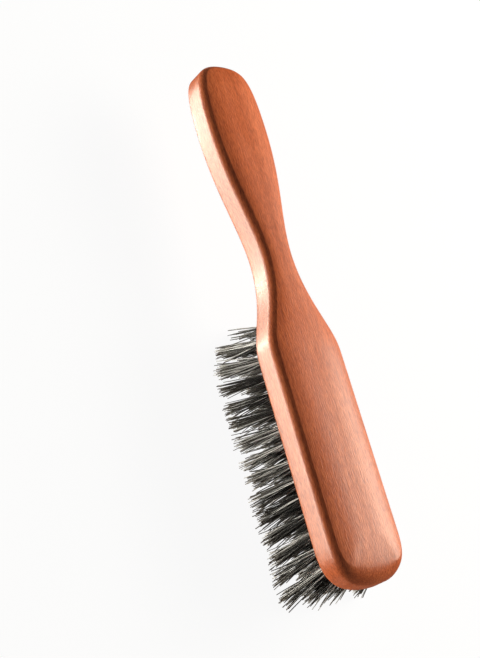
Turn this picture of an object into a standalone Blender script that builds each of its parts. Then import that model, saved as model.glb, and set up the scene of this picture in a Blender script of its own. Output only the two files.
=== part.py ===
"""Beard brush: one board of pearwood with a gently crowned back, sawn to a straight-sided head, a
waisted neck and a paddle handle, with boar-bristle tufts in blind holes that fan out under the head.

It lies on its bristle tips. +X runs from the head's tip to the end of the handle, +Z is up
through the back, and the origin is on the floor under the middle of the board's length.
Lengths are in metres.
"""

from math import radians, tan

import bmesh
import bpy
import numpy as np
from mathutils import Matrix

# The board's length is the sum of these runs, from the head's tip to the end of the handle.
HEAD_CORNER = 0.0137
HEAD_SIDE = 0.0606
SHOULDER = 0.0332
HANDLE_FLARE = 0.0485
HANDLE_END = 0.0240
LENGTH = HEAD_CORNER + HEAD_SIDE + SHOULDER + HANDLE_FLARE + HANDLE_END

HEAD_HALF_WIDTH = 0.0140
NECK_HALF_WIDTH = 0.0060
HANDLE_HALF_WIDTH = 0.0119
RIM_THICKNESS = 0.0094
BACK_EDGE_RADIUS = 0.0024
UNDERSIDE_EDGE_RADIUS = 0.0010

# The back swells from its rim in an arc that leaves every edge at the same slope.
CROWN_DEGREES = 8.0
CROWN_END_RUN = 0.0050
CROWN_CELL_ALONG = 0.0050
CROWN_CELL_ACROSS = 0.0036

# How far the outline keeps its direction at the two ends of each run, as shares of the run.
# At the tip and at the end of the handle, where it runs across, it is a share of the half width.
CORNER_PULL = (0.69, 0.77)
SIDE_PULL = (0.33, 0.33)
SHOULDER_PULL = (0.24, 0.48)
FLARE_PULL = (0.27, 0.46)
END_PULL = (0.81, 0.83)
STEPS_PER_RUN = 14
BACK_EDGE_SEGMENTS = 4
UNDERSIDE_EDGE_SEGMENTS = 2

# The bristle field: two outer rows, and two inner rows that run one tuft further to the neck.
BRISTLE_HEIGHT = 0.0191
FIRST_TUFT = 0.0077
LAST_TUFT_PAST_SIDE = 0.0062
EDGE_MARGIN = 0.0036
OUTER_ROW_TUFTS = 14
INNER_ROW_TUFTS = OUTER_ROW_TUFTS + 1
ROW_OFFSET = HEAD_HALF_WIDTH - EDGE_MARGIN
ROW_SHARES = (1, 1 / 3, -1 / 3, -1)
FIELD_LENGTH = HEAD_CORNER + HEAD_SIDE + LAST_TUFT_PAST_SIDE - FIRST_TUFT
TUFT_PITCH = FIELD_LENGTH / (OUTER_ROW_TUFTS - 1)

# The fan: how far the tufts at the field's two ends and in its outer rows lean outwards.
HEAD_END_LEAN_DEGREES = 11.0
NECK_END_LEAN_DEGREES = 13.9
SIDE_LEAN_DEGREES = 12.3
HEAD_END_DRIFT = tan(radians(HEAD_END_LEAN_DEGREES))
NECK_END_DRIFT = tan(radians(NECK_END_LEAN_DEGREES))
SIDE_DRIFT = tan(radians(SIDE_LEAN_DEGREES))

HOLE_RADIUS = 0.0015
HOLE_DEPTH = 0.0056
FIT_GAP = 0.0003
TUFT_ROOT_RADIUS = HOLE_RADIUS - FIT_GAP
TUFT_TIP_RADIUS = 0.0021
INNER_TIP_SPREAD = 1.7
TUFT_SIDES = 12
CUTTER_OVERRUN = 0.0005

SHARP_ANGLE = radians(34)
WELD = 1e-6


def clear_scene():
    for old in list(bpy.data.objects):
        bpy.data.objects.remove(old, do_unlink=True)


def new_collection(name):
    collection = bpy.data.collections.new(name)
    bpy.context.scene.collection.children.link(collection)
    return collection


def principled(name, colour, roughness, metallic):
    material = bpy.data.materials.new(name)
    material.use_nodes = True
    shader = material.node_tree.nodes["Principled BSDF"]
    shader.inputs["Base Color"].default_value = (*colour, 1.0)
    shader.inputs["Roughness"].default_value = roughness
    shader.inputs["Metallic"].default_value = metallic
    return material


def finish(mesh, material):
    mesh.materials.clear()
    mesh.materials.append(material)
    mesh.shade_smooth()
    mesh.set_sharp_from_angle(angle=SHARP_ANGLE)


def welded_mesh(source, collection):
    """The evaluated mesh of a curve or of a profile with its modifiers, closed where it meets."""
    collection.objects.link(source)
    graph = bpy.context.evaluated_depsgraph_get()
    mesh = bpy.data.meshes.new_from_object(source.evaluated_get(graph))
    bpy.data.objects.remove(source, do_unlink=True)
    shape = bmesh.new()
    shape.from_mesh(mesh)
    bmesh.ops.remove_doubles(shape, verts=shape.verts, dist=WELD)
    bmesh.ops.recalc_face_normals(shape, faces=shape.faces)
    shape.to_mesh(mesh)
    shape.free()
    return mesh


def side_stations():
    """Place along, half width, pull back and pull on of each station down one long side."""
    runs = (HEAD_CORNER, HEAD_SIDE, SHOULDER, HANDLE_FLARE, HANDLE_END)
    pulls = (CORNER_PULL, SIDE_PULL, SHOULDER_PULL, FLARE_PULL, END_PULL)
    half_widths = (HEAD_HALF_WIDTH, HEAD_HALF_WIDTH, NECK_HALF_WIDTH, HANDLE_HALF_WIDTH)
    stations = []
    place = 0.0
    for i, half_width in enumerate(half_widths):
        place += runs[i]
        back = pulls[i][1] * runs[i]
        on = pulls[i + 1][0] * runs[i + 1]
        stations.append((place, half_width, back, on))
    return stations


def outline_points():
    """Place, handle on the way in and handle on the way out, once round the board."""
    near = [((x, y), (x - back, y), (x + on, y)) for x, y, back, on in side_stations()]
    far = [((x, -y), (on, -y), (back, -y)) for (x, y), (back, _), (on, _) in near[::-1]]
    tip_reach = CORNER_PULL[0] * HEAD_HALF_WIDTH
    end_reach = END_PULL[1] * HANDLE_HALF_WIDTH
    tip = ((0.0, 0.0), (0.0, -tip_reach), (0.0, tip_reach))
    end = ((LENGTH, 0.0), (LENGTH, end_reach), (LENGTH, -end_reach))
    return [tip, *near, end, *far]


def board_curve():
    data = bpy.data.curves.new("board_outline", "CURVE")
    data.dimensions = "2D"
    data.fill_mode = "BOTH"
    data.extrude = RIM_THICKNESS / 2
    data.resolution_u = STEPS_PER_RUN
    points = outline_points()
    spline = data.splines.new("BEZIER")
    spline.bezier_points.add(len(points) - 1)
    spline.use_cyclic_u = True
    for knot, (place, handle_in, handle_out) in zip(spline.bezier_points, points):
        knot.co = (place[0] - LENGTH / 2, place[1], 0.0)
        knot.handle_left = (handle_in[0] - LENGTH / 2, handle_in[1], 0.0)
        knot.handle_right = (handle_out[0] - LENGTH / 2, handle_out[1], 0.0)
    return bpy.data.objects.new("board_outline", data)


def round_rim(shape, side, radius, segments):
    """Rounds the sharp edge round the back (side 1) or round the underside (side -1)."""
    rim = []
    for edge in shape.edges:
        on_side = all(vertex.co.z * side > 0 for vertex in edge.verts)
        if on_side and edge.calc_face_angle(0.0) > SHARP_ANGLE:
            rim.append(edge)
    bmesh.ops.bevel(
        shape, geom=rim, offset=radius, segments=segments, profile=0.5, affect="EDGES"
    )


def cut_back(shape):
    """Cuts the flat back into cells along and across, so that the crown has points to rise on."""
    cells_along = round(LENGTH / CROWN_CELL_ALONG)
    cells_across = round(2 * HEAD_HALF_WIDTH / CROWN_CELL_ACROSS)
    cuts = [
        ((LENGTH * (i / cells_along - 0.5), 0.0, 0.0), (1.0, 0.0, 0.0))
        for i in range(1, cells_along)
    ]
    cuts += [
        ((0.0, HEAD_HALF_WIDTH * (2 * i / cells_across - 1), 0.0), (0.0, 1.0, 0.0))
        for i in range(1, cells_across)
    ]
    for place, direction in cuts:
        back = [
            face
            for face in shape.faces
            if all(vertex.co.z > RIM_THICKNESS / 2 - WELD for vertex in face.verts)
        ]
        cell_edges = {edge for face in back for edge in face.edges}
        corners = {vertex for face in back for vertex in face.verts}
        bmesh.ops.bisect_plane(
            shape,
            geom=[*back, *cell_edges, *corners],
            dist=WELD,
            plane_co=place,
            plane_no=direction,
        )


def raise_crown(shape, outline):
    """Lifts the back by an arc over each width, which dies out towards both ends."""
    side = sorted(point for point in outline if point[1] >= 0)
    places, half_widths = zip(*side)
    for vertex in shape.verts:
        if vertex.co.z <= 0:
            continue
        half_width = np.interp(vertex.co.x, places, half_widths)
        if half_width <= abs(vertex.co.y):
            continue
        arc = half_width / 2 * (1 - (vertex.co.y / half_width) ** 2)
        to_end = min(1.0, (LENGTH / 2 - abs(vertex.co.x)) / CROWN_END_RUN)
        vertex.co.z += tan(radians(CROWN_DEGREES)) * arc * (1 - (1 - to_end) ** 2)


def make_body(collection, wood):
    mesh = welded_mesh(board_curve(), collection)
    mesh.name = "brush_body"
    shape = bmesh.new()
    shape.from_mesh(mesh)
    outline = {(vertex.co.x, vertex.co.y) for vertex in shape.verts}
    # Each cap becomes one flat face before its rim is rounded.
    bmesh.ops.dissolve_limit(
        shape, angle_limit=0.001, verts=shape.verts, edges=shape.edges
    )
    round_rim(shape, 1, BACK_EDGE_RADIUS, BACK_EDGE_SEGMENTS)
    round_rim(shape, -1, UNDERSIDE_EDGE_RADIUS, UNDERSIDE_EDGE_SEGMENTS)
    cut_back(shape)
    raise_crown(shape, outline)
    shape.to_mesh(mesh)
    shape.free()
    finish(mesh, wood)
    body = bpy.data.objects.new("brush_body", mesh)
    body.location = (0.0, 0.0, BRISTLE_HEIGHT + RIM_THICKNESS / 2)
    collection.objects.link(body)
    return body


def tuft_places():
    """Name, distance from the tip and offset across of every tuft."""
    for row, share in enumerate(ROW_SHARES, start=1):
        count = OUTER_ROW_TUFTS if abs(share) == 1 else INNER_ROW_TUFTS
        for number in range(count):
            name = f"bristle_tuft_row{row}_{number + 1:02d}"
            yield name, FIRST_TUFT + TUFT_PITCH * number, ROW_OFFSET * share


def fan_shear(from_tip, across):
    """Keeps a tuft where it crosses the underside and carries what is below it outwards."""
    along = (from_tip - FIRST_TUFT) / FIELD_LENGTH
    shear = Matrix.Identity(4)
    shear[0][2] = HEAD_END_DRIFT * (1 - along) - NECK_END_DRIFT * along
    shear[1][2] = -SIDE_DRIFT * across / ROW_OFFSET
    return shear


def on_underside(from_tip, across):
    return (from_tip - LENGTH / 2, across, -RIM_THICKNESS / 2)


def turned_tuft(collection):
    """A bundle that leaves its hole as a rod and widens evenly down to its trimmed tips."""
    root_end = HOLE_DEPTH - FIT_GAP
    profile = (
        (0.0, 0.0, root_end),
        (TUFT_ROOT_RADIUS, 0.0, root_end),
        (TUFT_ROOT_RADIUS, 0.0, 0.0),
        (TUFT_TIP_RADIUS, 0.0, -BRISTLE_HEIGHT),
        (0.0, 0.0, -BRISTLE_HEIGHT),
    )
    data = bpy.data.meshes.new("tuft_profile")
    data.from_pydata(profile, [(i, i + 1) for i in range(len(profile) - 1)], [])
    source = bpy.data.objects.new("tuft_profile", data)
    turn = source.modifiers.new("turn", "SCREW")
    turn.steps = TUFT_SIDES
    turn.render_steps = TUFT_SIDES
    turn.use_merge_vertices = True
    turn.merge_threshold = WELD
    return welded_mesh(source, collection)


def spread_tips(mesh):
    """Opens the tips out across the board, where a tuft has a neighbouring row on both sides."""
    for vertex in mesh.vertices:
        if vertex.co.z < -BRISTLE_HEIGHT / 2:
            vertex.co.y *= INNER_TIP_SPREAD


def make_tufts(collection, body, bristle):
    upright = turned_tuft(collection)
    for name, from_tip, across in tuft_places():
        mesh = upright.copy()
        mesh.name = name
        if abs(across) < ROW_OFFSET:
            spread_tips(mesh)
        mesh.transform(fan_shear(from_tip, across))
        finish(mesh, bristle)
        tuft = bpy.data.objects.new(name, mesh)
        tuft.parent = body
        tuft.location = on_underside(from_tip, across)
        collection.objects.link(tuft)
    bpy.data.meshes.remove(upright)


def make_drills(collection, body):
    """One cutter with a leaning drill for each tuft, starting a little below the underside."""
    length = HOLE_DEPTH + CUTTER_OVERRUN
    raised = Matrix.Translation((0.0, 0.0, HOLE_DEPTH - length / 2))
    drills = bmesh.new()
    for _, from_tip, across in tuft_places():
        place = Matrix.Translation(on_underside(from_tip, across))
        bmesh.ops.create_cone(
            drills,
            cap_ends=True,
            segments=TUFT_SIDES,
            radius1=HOLE_RADIUS,
            radius2=HOLE_RADIUS,
            depth=length,
            matrix=place @ fan_shear(from_tip, across) @ raised,
        )
    mesh = bpy.data.meshes.new("tuft_hole_drills")
    drills.to_mesh(mesh)
    drills.free()
    cutter = bpy.data.objects.new("tuft_hole_drills", mesh)
    cutter.parent = body
    cutter.hide_render = True
    cutter.display_type = "WIRE"
    collection.objects.link(cutter)
    return cutter


def drill(body, cutter):
    holes = body.modifiers.new("tuft_holes", "BOOLEAN")
    holes.operation = "DIFFERENCE"
    holes.solver = "EXACT"
    holes.object = cutter


def main():
    clear_scene()
    brush = new_collection("beard_brush")
    cutters = new_collection("cutters")
    wood = principled("pearwood", (0.56, 0.21, 0.095), 0.42, 0.0)
    bristle = principled("boar_bristle", (0.035, 0.032, 0.028), 0.50, 0.0)
    body = make_body(brush, wood)
    make_tufts(brush, body, bristle)
    drill(body, make_drills(cutters, body))


main()
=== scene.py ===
"""The looks of a beard brush: a pearwood board with tufts of boar bristle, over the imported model.

Metres throughout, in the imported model's frame: +X from the head's tip to the end of the handle,
+Z up through the back, and the floor under the trimmed bristle tips.
"""

import math
from collections import namedtuple

import bmesh
import bpy
import numpy as np
from mathutils import Matrix, Vector


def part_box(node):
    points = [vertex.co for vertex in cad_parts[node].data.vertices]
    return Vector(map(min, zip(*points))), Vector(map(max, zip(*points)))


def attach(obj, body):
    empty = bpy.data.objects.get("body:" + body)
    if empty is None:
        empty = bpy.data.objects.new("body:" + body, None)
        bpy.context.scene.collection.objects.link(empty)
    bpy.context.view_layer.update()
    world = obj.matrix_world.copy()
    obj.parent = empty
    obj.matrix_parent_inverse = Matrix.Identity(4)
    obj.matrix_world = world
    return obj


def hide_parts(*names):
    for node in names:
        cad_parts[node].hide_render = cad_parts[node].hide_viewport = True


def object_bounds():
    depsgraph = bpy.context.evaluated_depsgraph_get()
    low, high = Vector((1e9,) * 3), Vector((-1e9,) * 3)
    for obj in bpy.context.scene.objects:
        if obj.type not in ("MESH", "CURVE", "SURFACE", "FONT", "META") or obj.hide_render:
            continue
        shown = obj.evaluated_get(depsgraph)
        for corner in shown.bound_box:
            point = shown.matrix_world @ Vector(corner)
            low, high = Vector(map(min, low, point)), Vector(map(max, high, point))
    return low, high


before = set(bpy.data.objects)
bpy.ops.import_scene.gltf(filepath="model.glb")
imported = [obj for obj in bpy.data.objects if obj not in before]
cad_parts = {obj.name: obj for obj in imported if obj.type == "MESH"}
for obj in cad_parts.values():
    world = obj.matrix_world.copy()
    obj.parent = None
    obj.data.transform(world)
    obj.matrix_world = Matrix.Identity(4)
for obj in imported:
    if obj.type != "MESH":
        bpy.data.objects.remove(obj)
cad_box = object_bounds()

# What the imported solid's back has: a low crown, steepest at its rim, and a quarter-round edge.
SOLID_CROWN_SLOPE = math.tan(math.radians(8.0))
SOLID_EDGE_RADIUS = 0.0024
LEVEL_TOLERANCE = 2e-5

# The fine form of the back's edge: rounded over, then sloping up to a crisp arris.
BACK_EDGE_RADIUS = 0.0030
BACK_EDGE_TURN = math.radians(50)
BACK_EDGE_SLOPE = 0.0007
ARRIS_RADIUS = 0.0002
UNDERSIDE_EDGE_RADIUS = 0.0010
CROWN_ANGLE = math.radians(16.0)
CROWN_POWER = 3

# At the head's tip the arris fades into one broad round-over.
TIP_EDGE_INSET = 0.0050
TIP_EDGE_DROP = 0.0042
TIP_EDGE_START = math.radians(18)
TIP_EDGE_END = math.pi / 2 - CROWN_ANGLE

# How finely the board is meshed.
OUTLINE_POINTS = 720
OUTLINE_SMOOTHING = 10
BACK_EDGE_STEPS = 10
ARRIS_STEPS = 3
UNDERSIDE_EDGE_STEPS = 6
WALL_STEPS = 4
BACK_CELL = 0.0012
SHARP_ANGLE = math.radians(50)

# The drilled holes, and the strip of flat wire in each.
HOLE_RADIUS = 0.0015
HOLE_SIDES = 24
HOLE_OVERRUN = 0.0006
HOLE_CLEARANCE = 0.0003
ANCHOR_LENGTH = 0.0024
ANCHOR_WIDTH = 0.0014
ANCHOR_THICKNESS = 0.00035
ANCHOR_BEVEL = 0.00008

# One bristle. The shares are of HAIR_RADIUS.
HAIR_RADIUS = 0.000155
THINNEST_SHARE = 0.75
THICKEST_SHARE = 1.2
HAIR_TIP_SHARE = 0.92
CUT_END_SHARE = 0.85
HAIR_SIDES = 5
HAIR_RINGS = 7

# How a bundle is folded over its anchor, at the top of its hole.
FOLD_HEIGHT = 0.0008
FOLD_SHOULDER_LIFT = 0.0002
ANCHOR_DEPTH = 3.2 * HAIR_RADIUS

# How a tuft opens towards its trimmed tips, and how far its bristles stray.
FIRST_SEED = 1000
OUTER_HAIRS = 60
INNER_HAIRS = 78
SPARSE_HAIRS = 26
LAST_OF_INNER_ROW = "_15"
PLACE_SHAKE = 0.05
OPENING_POWER = 0.75
HAIR_BEND = 0.0010
BEND_CROSSES_AT = 0.35
HAIR_JITTER = 0.0006
TUFT_JITTER = 0.00035
TRIM_SCATTER = 0.0003
SHORT_HAIRS = 0.10
SHORT_BY = 0.0028
STRAY_HAIRS = 0.20
STRAY_BY = 0.0016
MOST_STRAY = 0.0024
BOX_OVERHANG = 0.0007

# The tufts by the neck, and how far their tips turn in towards the middle of the board.
TURN_IN = {
    "bristle_tuft_row1_13": 0.0006,
    "bristle_tuft_row1_14": 0.0024,
    "bristle_tuft_row2_15": 0.0024,
    "bristle_tuft_row3_15": 0.0024,
    "bristle_tuft_row4_13": 0.0006,
    "bristle_tuft_row4_14": 0.0024,
}

# Margins of the bristles' map: beside a hair's strip, as a share of it, and at the hair's ends.
STRIP_MARGIN = 0.2
MAP_MARGIN = 0.02

# The camera, from a perspective fit of the board's outline.
CAMERA_AT = Vector((-0.14365, 0.26369, 0.30675))
CAMERA_RIGHT = Vector((-0.26131, -0.79150, 0.55249))
CAMERA_UP = Vector((0.90176, 0.00399, 0.43222))
CAMERA_LENS = 71.39
CAMERA_NEAR = 0.01
SENSOR = 36.0

# Lamps, the floor and the world.
LAMP_COLOUR = (1.0, 0.95, 0.81)
LAMP_DISTANCE = 0.80
LAMPS_FACE = Vector((-0.02, 0.0, 0.02))
FLOOR_SIZE = 6.0
FLOOR_GREY = 0.86
FLOOR_GLOW = 0.93
WHITE = (1.0, 1.0, 1.0, 1.0)
STUDIO_COLOUR = (1.0, 0.90, 0.78, 1.0)
STUDIO_STRENGTH = 0.13
MIRRORED_FLOOR = 0.10
MIRRORED_CEILING = 0.06
HORIZON = (-0.15, 0.25)

Tuft = namedtuple("Tuft", "tip mouth root tip_reach root_reach")


def new_object(name, mesh):
    """A mesh placed in the scene."""
    thing = bpy.data.objects.new(name, mesh)
    bpy.context.scene.collection.objects.link(thing)
    return thing


def take_mesh(shape, name):
    """The mesh of a finished bmesh, which is freed."""
    mesh = bpy.data.meshes.new(name)
    shape.to_mesh(mesh)
    shape.free()
    return mesh


class Nodes:
    """A short way to lay out the node tree of one material or world."""

    def __init__(self, owner):
        owner.use_nodes = True
        self.owner = owner
        self.tree = owner.node_tree
        self.shader = self.tree.nodes.get("Principled BSDF")

    def add(self, kind, inputs=None, **settings):
        node = self.tree.nodes.new("ShaderNode" + kind)
        for key, value in settings.items():
            setattr(node, key, value)
        for key, value in (inputs or {}).items():
            self.feed(node.inputs[key], value)
        return node

    def feed(self, socket, value):
        if isinstance(value, bpy.types.NodeSocket):
            self.tree.links.new(value, socket)
        else:
            socket.default_value = value

    def math(self, operation, *values):
        node = self.add("Math", operation=operation)
        for socket, value in zip(node.inputs, values):
            self.feed(socket, value)
        return node.outputs[0]

    def ramp(self, factor, stops, **settings):
        node = self.add("ValToRGB", {"Fac": factor})
        for key, value in settings.items():
            setattr(node.color_ramp, key, value)
        elements = node.color_ramp.elements
        while len(elements) < len(stops):
            elements.new(0.5)
        for element, (place, colour) in zip(elements, stops):
            element.position = place
            element.color = (*colour, 1.0)
        return node.outputs["Color"]

    def mix_shaders(self, factor, a, b):
        return self.add("MixShader", {0: factor, 1: a, 2: b}).outputs[0]

    def mix(self, factor, a, b, blend="MIX"):
        node = self.add("Mix", data_type="RGBA", blend_type=blend)
        self.feed(node.inputs[0], factor)
        self.feed(node.inputs[6], a)
        self.feed(node.inputs[7], b)
        return node.outputs[2]

    def noise(self, vector, scale, detail=2.0, roughness=0.5, distortion=0.0):
        inputs = {
            "Vector": vector,
            "Scale": scale,
            "Detail": detail,
            "Roughness": roughness,
            "Distortion": distortion,
        }
        return self.add("TexNoise", inputs).outputs["Fac"]


def grey(value):
    """A neutral colour of one value."""
    return (value, value, value)


def pearwood():
    """Oiled pearwood: broad warm bands, long faint streaks and short flecks along the board."""
    n = Nodes(bpy.data.materials.new("pearwood"))
    place = n.add("TexCoord").outputs["Object"]
    short = n.add("Mapping", {"Vector": place, "Scale": (0.17, 1.0, 1.0)}).outputs[0]
    long = n.add("Mapping", {"Vector": place, "Scale": (0.05, 1.0, 1.0)}).outputs[0]

    bands = n.noise(long, 240.0, 2.0, 0.5, 0.3)
    streaks = n.noise(long, 950.0, 3.0, 0.6)
    flecks = n.noise(short, 2300.0, 2.0, 0.6)
    speckle = n.noise(short, 4200.0, 1.0, 0.5)
    cloud = n.noise(place, 60.0, 2.0, 0.5)

    tone = n.math("MULTIPLY_ADD", bands, 0.34, n.math("MULTIPLY", cloud, 0.22))
    tone = n.math("MULTIPLY_ADD", streaks, 0.20, tone)
    tone = n.math("MULTIPLY_ADD", flecks, 0.24, tone)
    base = n.ramp(
        tone,
        [
            (0.36, (0.420, 0.083, 0.020)),
            (0.50, (0.545, 0.118, 0.034)),
            (0.64, (0.660, 0.163, 0.053)),
        ],
    )
    fleck = n.ramp(
        flecks,
        [
            (0.32, (0.85, 0.80, 0.77)),
            (0.50, grey(1.0)),
            (0.68, (1.08, 1.11, 1.13)),
        ],
    )
    pore = n.ramp(
        speckle,
        [
            (0.30, (0.78, 0.70, 0.66)),
            (0.46, grey(1.0)),
            (0.70, grey(1.08)),
        ],
    )
    base = n.mix(1.0, n.mix(1.0, base, fleck, "MULTIPLY"), pore, "MULTIPLY")
    n.feed(n.shader.inputs["Base Color"], base)

    n.feed(n.shader.inputs["Roughness"], n.math("MULTIPLY_ADD", flecks, -0.24, 0.54))
    relief = n.math("MULTIPLY_ADD", speckle, 0.35, flecks)
    bump = n.add("Bump", {"Height": relief, "Strength": 0.65, "Distance": 0.00012})
    n.feed(n.shader.inputs["Normal"], bump.outputs[0])
    n.shader.inputs["Specular IOR Level"].default_value = 0.50
    n.shader.inputs["Coat Weight"].default_value = 0.35
    n.shader.inputs["Coat Roughness"].default_value = 0.26
    return n.owner


def boar_bristle():
    """Mostly near-black bristle with grey hairs, and pale hairs that are partly their own pale tone
    and partly painted glints; each browner towards its cut tip.
    """
    n = Nodes(bpy.data.materials.new("boar_bristle"))
    tone_and_glint = n.add("Attribute", attribute_name="tone_and_glint").outputs["Fac"]
    down = n.add("Attribute", attribute_name="down").outputs["Fac"]
    # Each hair's random tone: near-black and grey are the bristle's own colour; the pale stops are
    # partly pale hairs and partly painted glints (painted highlight).
    body = n.ramp(
        tone_and_glint,
        [
            (0.00, (0.004, 0.004, 0.005)),
            (0.50, (0.009, 0.008, 0.008)),
            (0.62, (0.070, 0.064, 0.058)),
            (0.71, (0.320, 0.316, 0.316)),
            (0.84, (0.820, 0.825, 0.845)),
        ],
    )
    at_end = n.math("MULTIPLY", n.math("POWER", down, 5.0), 0.55)
    colour = n.mix(at_end, body, (0.060, 0.040, 0.026, 1.0))
    n.feed(n.shader.inputs["Base Color"], colour)
    n.shader.inputs["Roughness"].default_value = 0.30
    n.shader.inputs["IOR"].default_value = 1.45
    n.shader.inputs["Specular IOR Level"].default_value = 0.30
    return n.owner


def anchor_steel():
    """Bright drawn wire with fine scratches."""
    n = Nodes(bpy.data.materials.new("anchor_steel"))
    place = n.add("TexCoord").outputs["Object"]
    scratch = n.noise(place, 9000.0, 2.0, 0.6)
    n.feed(n.shader.inputs["Roughness"], n.math("MULTIPLY_ADD", scratch, 0.25, 0.25))
    n.feed(
        n.shader.inputs["Base Color"],
        n.ramp(scratch, [(0.3, (0.45, 0.45, 0.44)), (0.7, (0.62, 0.62, 0.60))]),
    )
    n.shader.inputs["Metallic"].default_value = 1.0
    return n.owner


def cad_half_width():
    """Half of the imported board's greatest width."""
    low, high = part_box("brush_body")
    return (high.y - low.y) / 2


def flat_level():
    """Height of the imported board's back at its edge, where the crown has run out."""
    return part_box("brush_body")[1].z - SOLID_CROWN_SLOPE * cad_half_width() / 2


def wall_outline():
    """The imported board's outline at its upright wall, evenly spaced and free of facets."""
    wall_top = flat_level() - SOLID_EDGE_RADIUS
    ring = {
        (round(v.co.x, 6), round(v.co.y, 6))
        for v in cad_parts["brush_body"].data.vertices
        if abs(v.co.z - wall_top) < LEVEL_TOLERANCE
    }
    near = sorted(point for point in ring if point[1] >= 0)
    far = sorted((point for point in ring if point[1] < 0), reverse=True)
    loop = np.array([*near, *far, near[0]])
    run = np.concatenate([[0.0], np.cumsum(np.hypot(*np.diff(loop, axis=0).T))])
    even = np.linspace(0.0, run[-1], OUTLINE_POINTS, endpoint=False)
    points = np.stack([np.interp(even, run, loop[:, axis]) for axis in (0, 1)], 1)
    for _ in range(OUTLINE_SMOOTHING):
        points = (np.roll(points, 1, 0) + 2 * points + np.roll(points, -1, 0)) / 4
    return points


def crown_height(place, rim):
    """How far the back stands above its rim at a place: steepest at the rim, level in the middle."""
    near = rim[rim[:, 1] >= 0]
    near = near[np.argsort(near[:, 0])]
    widest = near[:, 1].max()
    along = np.clip(place[0], near[0, 0] + widest, near[-1, 0] - widest)
    span = np.interp(along, near[:, 0], near[:, 1])
    ahead = np.roll(rim, -1, 0) - rim
    share = ((place - rim) * ahead).sum(1) / (ahead**2).sum(1)
    away = np.linalg.norm(rim + np.clip(share, 0, 1)[:, None] * ahead - place, axis=1).min()
    left = max(1 - away / span, 0.0)
    return math.tan(CROWN_ANGLE) * span / CROWN_POWER * (1 - left**CROWN_POWER)


def underside_profile():
    """Inset from the outline and height above the underside, up to the foot of the wall."""
    turns = np.linspace(0, math.pi / 2, UNDERSIDE_EDGE_STEPS + 1)
    radius = UNDERSIDE_EDGE_RADIUS
    return [(radius * (1 - math.sin(t)), radius * (1 - math.cos(t))) for t in turns]


def arris_profile():
    """Inset from the outline and depth below the back, from the wall's top up past the arris."""
    turns = np.linspace(0, BACK_EDGE_TURN, BACK_EDGE_STEPS + 1)
    rings = [BACK_EDGE_RADIUS * np.array([1 - math.cos(t), math.sin(t)]) for t in turns]
    ahead = np.array([math.sin(BACK_EDGE_TURN), math.cos(BACK_EDGE_TURN)])
    rings += [rings[-1] + ahead * BACK_EDGE_SLOPE / 2, rings[-1] + ahead * BACK_EDGE_SLOPE]
    start = rings[-1]
    for turn in np.linspace(BACK_EDGE_TURN, math.pi / 2 - CROWN_ANGLE, ARRIS_STEPS + 1)[1:]:
        reach = math.cos(BACK_EDGE_TURN) - math.cos(turn)
        rise = math.sin(turn) - math.sin(BACK_EDGE_TURN)
        rings.append(start + ARRIS_RADIUS * np.array([reach, rise]))
    profile = np.array(rings)
    profile[:, 1] = profile[-1, 1] - profile[:, 1]
    return profile


def tip_profile(count):
    """The same as arris_profile, for the broad round-over at the head's tip."""
    turns = np.linspace(TIP_EDGE_START, TIP_EDGE_END, count)
    across, up = -np.cos(turns), np.sin(turns)
    inset = TIP_EDGE_INSET * (across - across[0]) / (across[-1] - across[0])
    return np.column_stack([inset, TIP_EDGE_DROP * (up[-1] - up) / (up[-1] - up[0])])


def inward_normals(outline):
    """The outline's unit normals, pointing into the board."""
    ahead = np.roll(outline, -1, 0) - np.roll(outline, 1, 0)
    inward = np.stack([ahead[:, 1], -ahead[:, 0]], 1)
    inward /= np.linalg.norm(inward, axis=1)[:, None]
    toward_middle = (inward * -outline).sum() > 0
    return inward if toward_middle else -inward


def board_levels(inward, bottom, top):
    """Inset and height of every ring of the board, from the underside up to the crown's rim."""
    at_tip = np.maximum(inward[:, 0], 0.0)[:, None, None] ** 2
    sharp = arris_profile()
    edge = sharp * (1 - at_tip) + tip_profile(len(sharp)) * at_tip
    back = [(edge[:, ring, 0], top - edge[:, ring, 1]) for ring in range(len(sharp))]
    count = len(inward)
    levels = [
        (np.full(count, inset), np.full(count, bottom + rise))
        for inset, rise in underside_profile()
    ]
    foot, head = levels[-1][1], back[0][1]
    for step in range(1, WALL_STEPS):
        levels.append((np.zeros(count), foot + (head - foot) * step / WALL_STEPS))
    return levels + back


def make_board(wood):
    """The board with finely rounded edges and a crowned back, then drilled for the tufts."""
    top = flat_level()
    outline = wall_outline()
    inward = inward_normals(outline)
    shape = bmesh.new()
    rings = []
    for inset, height in board_levels(inward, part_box("brush_body")[0].z, top):
        places = np.column_stack([outline + inward * inset[:, None], height])
        rings.append([shape.verts.new(place) for place in places])
    for lower, upper in zip(rings, rings[1:]):
        for i in range(len(outline)):
            j = (i + 1) % len(outline)
            shape.faces.new((lower[i], lower[j], upper[j], upper[i]))
    shape.faces.new(rings[0])
    rim = np.array([v.co.xy for v in rings[-1]])
    cover_back(shape, rings[-1], rim, top)
    bmesh.ops.recalc_face_normals(shape, faces=shape.faces)
    board = new_object("pearwood_board", take_mesh(shape, "pearwood_board"))
    drill_holes(board)
    board.data.materials.clear()
    board.data.materials.append(wood)
    board.data.shade_smooth()
    board.data.set_sharp_from_angle(angle=SHARP_ANGLE)
    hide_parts("brush_body")
    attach(board, "root")


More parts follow.
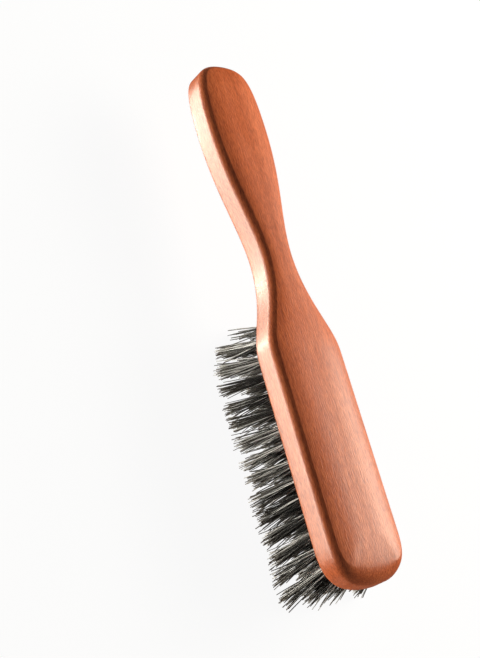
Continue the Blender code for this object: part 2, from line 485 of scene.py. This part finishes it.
def cover_back(shape, ring, rim, top):
    """Spans the back with rows of cells from each point of the rim to the one across from it."""
    half = len(ring) // 2
    steps = round(2 * cad_half_width() / BACK_CELL)
    rows = []
    for k in range(half + 1):
        near, far = ring[k], ring[-k]
        if near is far or k == half:
            rows.append([near] * (steps + 1))
            continue
        row = [near]
        for step in range(1, steps):
            place = np.array(near.co.lerp(far.co, step / steps).xy)
            row.append(shape.verts.new((*place, top + crown_height(place, rim))))
        rows.append([*row, far])
    for row, following in zip(rows, rows[1:]):
        for step in range(steps):
            corners = (row[step], row[step + 1], following[step + 1], following[step])
            shape.faces.new(list(dict.fromkeys(corners)))


def tuft_axis(node):
    """Middle and half size of the trimmed tips, then of the root's end, from the solid."""
    points = np.array([v.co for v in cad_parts[node].data.vertices])
    ends = []
    for level in (points[:, 2].min(), points[:, 2].max()):
        ring = points[np.abs(points[:, 2] - level) < LEVEL_TOLERANCE]
        ends.append(((ring.min(0) + ring.max(0)) / 2, (ring.max(0) - ring.min(0)) / 2))
    return ends


def tuft_nodes():
    """The names of the tufts' nodes, in a fixed order."""
    return sorted(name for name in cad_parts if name.startswith("bristle_tuft"))


def tuft_lean(tip, root):
    """How far a tuft's axis runs for each metre that it climbs."""
    return (root - tip) / (root[2] - tip[2])


def sheared(lean):
    """Leans an upright form over along a tuft's axis, and keeps its levels flat."""
    shear = Matrix.Identity(4)
    shear[0][2], shear[1][2] = lean[0], lean[1]
    return shear


def drill_holes(board):
    """Cuts the leaning blind holes, each round in the plane of the underside."""
    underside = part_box("brush_body")[0].z
    drills = bmesh.new()
    for node in tuft_nodes():
        (tip, _), (root, _) = tuft_axis(node)
        lean = tuft_lean(tip, root)
        start = root + lean * (underside - HOLE_OVERRUN - root[2])
        end = root + lean * HOLE_CLEARANCE
        bmesh.ops.create_cone(
            drills,
            cap_ends=True,
            segments=HOLE_SIDES,
            radius1=HOLE_RADIUS,
            radius2=HOLE_RADIUS,
            depth=end[2] - start[2],
            matrix=Matrix.Translation((start + end) / 2) @ sheared(lean),
        )
    cutter = new_object("hole_drills", take_mesh(drills, "hole_drills"))
    holes = board.modifiers.new("holes", "BOOLEAN")
    holes.operation = "DIFFERENCE"
    holes.solver = "EXACT"
    holes.object = cutter
    graph = bpy.context.evaluated_depsgraph_get()
    board.data = bpy.data.meshes.new_from_object(board.evaluated_get(graph))
    board.modifiers.clear()
    bpy.data.objects.remove(cutter, do_unlink=True)


def disc_points(count, rng):
    """Evenly packed places in a unit disc, slightly shaken."""
    index = np.arange(count) + 0.5
    radius = np.sqrt(index / count)
    turn = index * math.pi * (3 - math.sqrt(5)) + rng.uniform(0, 2 * math.pi)
    places = np.stack([radius * np.cos(turn), radius * np.sin(turn)], 1)
    return places + rng.normal(0, PLACE_SHAKE, places.shape)


def half_bundle(tuft, disc, outward, rng):
    """Paths down one side of a tuft's anchor, from its hole to the trimmed tips."""
    disc = disc[np.argsort(disc[:, 0])]
    count = len(disc)
    clear = ANCHOR_THICKNESS / 2 + HAIR_RADIUS
    side = clear + np.clip(np.abs(disc[:, 1]), 0, 1) * (tuft.root_reach - clear)
    held = np.stack([disc[:, 0] * tuft.root_reach, outward * side, np.zeros(count)], 1)
    stray = (rng.random(count) < STRAY_HAIRS)[:, None] * STRAY_BY
    jitter = rng.normal(0, 1, disc.shape) * (HAIR_JITTER + stray)
    spread = np.zeros((count, 3))
    spread[:, :2] = disc * tuft.tip_reach[:2] + np.clip(jitter, -MOST_STRAY, MOST_STRAY)
    bend = rng.normal(0, HAIR_BEND, (count, 2))
    trim = np.abs(rng.normal(0, TRIM_SCATTER, count))
    short = rng.random(count) < SHORT_HAIRS
    trim += short * rng.uniform(0, SHORT_BY, count)
    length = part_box("brush_body")[0].z - tuft.tip[2]
    points = [tuft.root + held - np.array([0, 0, FOLD_HEIGHT]), tuft.mouth + held]
    for step in range(1, HAIR_RINGS + 1):
        share = step / HAIR_RINGS * (length - trim[:, None] - HAIR_RADIUS) / length
        opened = share**OPENING_POWER
        along = tuft.mouth + (tuft.tip - tuft.mouth) * share
        sway = (share * (share - BEND_CROSSES_AT)) * bend
        sway = np.stack([*sway.T, np.zeros(count)], 1)
        points.append(along + held * (1 - opened) + spread * opened + sway)
    paths = np.stack(points, 1)
    keep_by_box(paths, rng)
    return paths


def keep_by_box(paths, rng):
    """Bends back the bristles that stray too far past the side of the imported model's box."""
    most = cad_box[1].y + BOX_OVERHANG - rng.uniform(0, BOX_OVERHANG, len(paths))
    beyond = paths[:, -1, 1] - np.clip(paths[:, -1, 1], -most, most)
    paths[:, 2:, 1] -= beyond[:, None] * (np.arange(1, HAIR_RINGS + 1) / HAIR_RINGS) ** 2


def hair_count(node, tip_reach):
    """Inner tufts stand further apart at their tips and are fuller; the last two are sparse."""
    if node.endswith(LAST_OF_INNER_ROW):
        return SPARSE_HAIRS
    return INNER_HAIRS if tip_reach[1] > tip_reach[0] + LEVEL_TOLERANCE else OUTER_HAIRS


def hair_paths(node, rng):
    """Paths of the folded bristles, from one tip over the anchor to the other tip."""
    (tip, tip_reach), (root, root_reach) = tuft_axis(node)
    mouth = root + tuft_lean(tip, root) * (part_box("brush_body")[0].z - root[2])
    tip = tip + np.array([*rng.normal(0, TUFT_JITTER, 2), 0.0])
    tip[1] -= math.copysign(TURN_IN.get(node, 0.0), tip[1])
    tip_reach = tip_reach - HAIR_RADIUS * np.array([1.0, 1.0, 0.0])
    tuft = Tuft(tip, mouth, root, tip_reach, root_reach[0] - HAIR_RADIUS)
    hairs = hair_count(node, tip_reach)
    places = disc_points(hairs, rng)
    places = places[np.argsort(places[:, 1])]
    left = half_bundle(tuft, places[: hairs // 2], -1.0, rng)
    right = half_bundle(tuft, places[hairs // 2 :], 1.0, rng)
    top = (left[:, 0] + right[:, 0]) / 2
    top[:, 2] = root[2] - HAIR_RADIUS
    lift = np.array([0, 0, FOLD_SHOULDER_LIFT])
    shoulders = [(half[:, 0] + top) / 2 + lift for half in (left, right)]
    over = np.stack([shoulders[0], top, shoulders[1]], 1)
    return np.concatenate([left[:, ::-1], over, right], 1)


def tubes(paths, rng):
    """One mesh of thin tapered tubes, with each hair's random tone (its pale share painted glints)
    and how far down it a point is.
    """
    hairs, rings, _ = paths.shape
    ahead = np.gradient(paths, axis=1)
    ahead /= np.linalg.norm(ahead, axis=2)[..., None]
    first = np.array([1.0, 0.0, 0.0]) - ahead * ahead[..., :1]
    first /= np.linalg.norm(first, axis=2)[..., None]
    second = np.cross(ahead, first)
    down = np.abs(np.linspace(-1, 1, rings))
    thickness = HAIR_RADIUS * rng.uniform(THINNEST_SHARE, THICKEST_SHARE, hairs)
    taper = 1 - (1 - HAIR_TIP_SHARE) * down**2
    taper[[0, -1]] *= CUT_END_SHARE
    turn = np.linspace(0, 2 * math.pi, HAIR_SIDES, endpoint=False)
    cosine, sine = np.cos(turn)[:, None], np.sin(turn)[:, None]
    circle = first[:, :, None] * cosine + second[:, :, None] * sine
    radius = thickness[:, None] * taper
    points = paths[:, :, None] + circle * radius[:, :, None, None]
    index = np.arange(hairs * rings * HAIR_SIDES).reshape(hairs, rings, HAIR_SIDES)
    lower, upper = index[:, :-1], index[:, 1:]
    quads = np.stack([lower, np.roll(lower, -1, 2), np.roll(upper, -1, 2), upper], -1)
    quads = quads.reshape(-1, 4)
    caps = np.concatenate([index[:, 0, ::-1], index[:, -1]])
    faces = [*quads.tolist(), *caps.tolist()]
    mesh = bpy.data.meshes.new("bristles")
    mesh.from_pydata(points.reshape(-1, 3).tolist(), [], faces)
    tone_and_glint = mesh.attributes.new("tone_and_glint", "FLOAT", "POINT")
    tone_and_glint.data.foreach_set("value", np.repeat(rng.random(hairs), rings * HAIR_SIDES))
    depth = mesh.attributes.new("down", "FLOAT", "POINT")
    depth.data.foreach_set("value", np.tile(np.repeat(down, HAIR_SIDES), hairs))
    lay_out_map(mesh, hairs, rings)
    return mesh


def lay_out_map(mesh, hairs, rings):
    """A map with a strip for each hair, so that an export can keep its tone, pale painted glints
    too, in a picture.
    """
    corners = np.zeros(len(mesh.loops), np.int64)
    mesh.loops.foreach_get("vertex_index", corners)
    hair, rest = np.divmod(corners, rings * HAIR_SIDES)
    ring, side = np.divmod(rest, HAIR_SIDES)
    around = np.minimum(side, HAIR_SIDES - side) / (HAIR_SIDES / 2)
    across = (hair + STRIP_MARGIN + (1 - 2 * STRIP_MARGIN) * around) / hairs
    along = MAP_MARGIN + (1 - 2 * MAP_MARGIN) * ring / (rings - 1)
    layer = mesh.uv_layers.new(name="OFBake")
    layer.uv.foreach_set("vector", np.stack([across, along], 1).astype(np.float32).ravel())


def make_tufts(bristle, steel):
    """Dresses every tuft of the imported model, and gives each its anchor."""
    for number, node in enumerate(tuft_nodes()):
        rng = np.random.default_rng(FIRST_SEED + number)
        mesh = tubes(hair_paths(node, rng), rng)
        mesh.materials.append(bristle)
        mesh.shade_smooth()
        tuft = new_object(node.replace("bristle_tuft", "bristles"), mesh)
        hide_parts(node)
        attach(tuft, "root")
        make_anchor(node, steel)


def make_anchor(node, steel):
    """The strip of flat wire that the bristles are folded over, set on edge across its hole."""
    (tip, _), (root, _) = tuft_axis(node)
    lean = tuft_lean(tip, root)
    middle = root - lean * (ANCHOR_WIDTH / 2 + ANCHOR_DEPTH)
    size = Matrix.Diagonal((ANCHOR_LENGTH, ANCHOR_THICKNESS, ANCHOR_WIDTH, 1.0))
    place = Matrix.Translation(middle) @ sheared(lean) @ size
    shape = bmesh.new()
    bmesh.ops.create_cube(shape, size=1.0, matrix=place)
    bmesh.ops.bevel(
        shape,
        geom=shape.edges,
        offset=ANCHOR_BEVEL,
        segments=2,
        profile=0.5,
        affect="EDGES",
    )
    mesh = take_mesh(shape, "anchor")
    mesh.materials.append(steel)
    mesh.shade_smooth()
    mesh.set_sharp_from_angle(angle=SHARP_ANGLE)
    anchor = new_object(node.replace("bristle_tuft", "anchor"), mesh)
    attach(anchor, "root")


def make_camera():
    """The camera that sees the brush as the photo does."""
    data = bpy.data.cameras.new("camera")
    data.lens = CAMERA_LENS
    data.sensor_width = SENSOR
    data.clip_start = CAMERA_NEAR
    camera = bpy.data.objects.new("camera", data)
    bpy.context.scene.collection.objects.link(camera)
    back = CAMERA_RIGHT.cross(CAMERA_UP)
    turn = Matrix((CAMERA_RIGHT, CAMERA_UP, back)).transposed().to_4x4()
    camera.matrix_world = Matrix.Translation(CAMERA_AT) @ turn
    bpy.context.scene.camera = camera


def make_lamp(name, direction, height, width, power, glossy=True, diffuse=True):
    """A warm white softbox that faces the brush, and that can be left out of a kind of light."""
    data = bpy.data.lights.new(name, "AREA")
    data.shape = "RECTANGLE"
    data.size, data.size_y = height, width
    data.energy = power
    data.color = LAMP_COLOUR
    lamp = bpy.data.objects.new(name, data)
    lamp.visible_glossy = glossy
    lamp.visible_diffuse = diffuse
    bpy.context.scene.collection.objects.link(lamp)
    direction = Vector(direction).normalized()
    turn = direction.to_track_quat("Z", "X").to_matrix().to_4x4()
    lamp.matrix_world = Matrix.Translation(LAMPS_FACE + direction * LAMP_DISTANCE) @ turn


def make_world():
    """White behind the object, a dim warm studio that lights it, and a grey one that it mirrors."""
    n = Nodes(bpy.data.worlds.new("studio"))
    bpy.context.scene.world = n.owner
    n.tree.nodes.clear()
    rays = n.add("LightPath").outputs
    up = n.add("SeparateXYZ", {0: n.add("TexCoord").outputs["Generated"]}).outputs["Z"]
    fade = {
        "Value": up,
        "From Min": HORIZON[0],
        "From Max": HORIZON[1],
        "To Min": MIRRORED_FLOOR,
        "To Max": MIRRORED_CEILING,
    }
    strength = n.add("MapRange", fade).outputs[0]
    dim = n.add("Background", {"Color": STUDIO_COLOUR, "Strength": STUDIO_STRENGTH})
    mirrored = n.add("Background", {"Color": WHITE, "Strength": strength})
    white = n.add("Background", {"Color": WHITE, "Strength": 1.0})
    around = n.mix_shaders(rays["Is Glossy Ray"], dim.outputs[0], mirrored.outputs[0])
    seen = n.mix_shaders(rays["Is Camera Ray"], around, white.outputs[0])
    n.add("OutputWorld", {"Surface": seen})


def make_floor():
    """A pale floor that glows to the camera alone, and lets the low lamps shine up past it."""
    shape = bmesh.new()
    bmesh.ops.create_grid(shape, x_segments=1, y_segments=1, size=FLOOR_SIZE / 2)
    floor = new_object("floor", take_mesh(shape, "floor"))
    floor.visible_shadow = False
    floor.visible_glossy = False
    floor.visible_diffuse = False
    n = Nodes(bpy.data.materials.new("pale_floor"))
    n.shader.inputs["Base Color"].default_value = (*grey(FLOOR_GREY), 1.0)
    n.shader.inputs["Roughness"].default_value = 0.9
    n.shader.inputs["Specular IOR Level"].default_value = 0.0
    glow = n.add("Emission", {"Color": WHITE, "Strength": 1.0})
    share = n.math("MULTIPLY", n.add("LightPath").outputs["Is Camera Ray"], FLOOR_GLOW)
    seen = n.mix_shaders(share, n.shader.outputs[0], glow.outputs[0])
    n.feed(n.tree.nodes["Material Output"].inputs["Surface"], seen)
    floor.data.materials.append(n.owner)


make_camera()
make_world()
make_floor()
make_lamp("low_left_softbox", (0.36, 0.69, -0.62), 0.30, 0.95, 11.6)
make_lamp("low_right_softbox", (0.30, -0.88, 0.36), 0.40, 0.55, 8.8, glossy=False)
make_lamp("high_right_softbox", (0.0, -0.82, 0.57), 0.30, 0.50, 5.0)
make_lamp("head_end_softbox", (-0.62, 0.0, -0.78), 0.50, 0.50, 6.0, glossy=False)
make_lamp("shoulder_glint", (0.57, 0.42, -0.71), 0.08, 0.08, 1.2, diffuse=False)
make_board(pearwood())
make_tufts(boar_bristle(), anchor_steel())

bpy.context.scene.view_settings.view_transform = "Standard"
